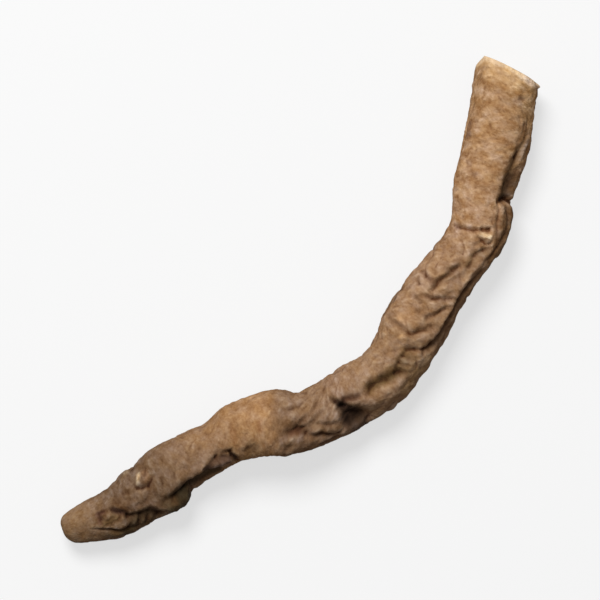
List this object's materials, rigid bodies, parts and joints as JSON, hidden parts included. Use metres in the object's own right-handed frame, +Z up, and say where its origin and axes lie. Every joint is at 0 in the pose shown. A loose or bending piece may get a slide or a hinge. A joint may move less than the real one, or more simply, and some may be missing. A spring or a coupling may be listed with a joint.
{
  "type": "polygala root",
  "caption": "Dried, bent root of finger-like section with wrinkled bark, folds and a crack, a slanting cut end with a blind hollow, and a rounded tip; it lies at rest.",
  "frame": {"origin": "on the ground the root lies on, under the middle of its box", "axes": "+Z up from the ground; seen from above with +X to the right and +Y up the page, the cut end is at the upper right and the tip at the lower left"},
  "size_m": [0.0498, 0.0506, 0.0068],
  "materials": {
    "bark": "dry matt wrinkled bark, tan to grey-brown"
  },
  "bodies": {
    "root": {"polygala_root": "bark"}
  },
  "joints": []
}
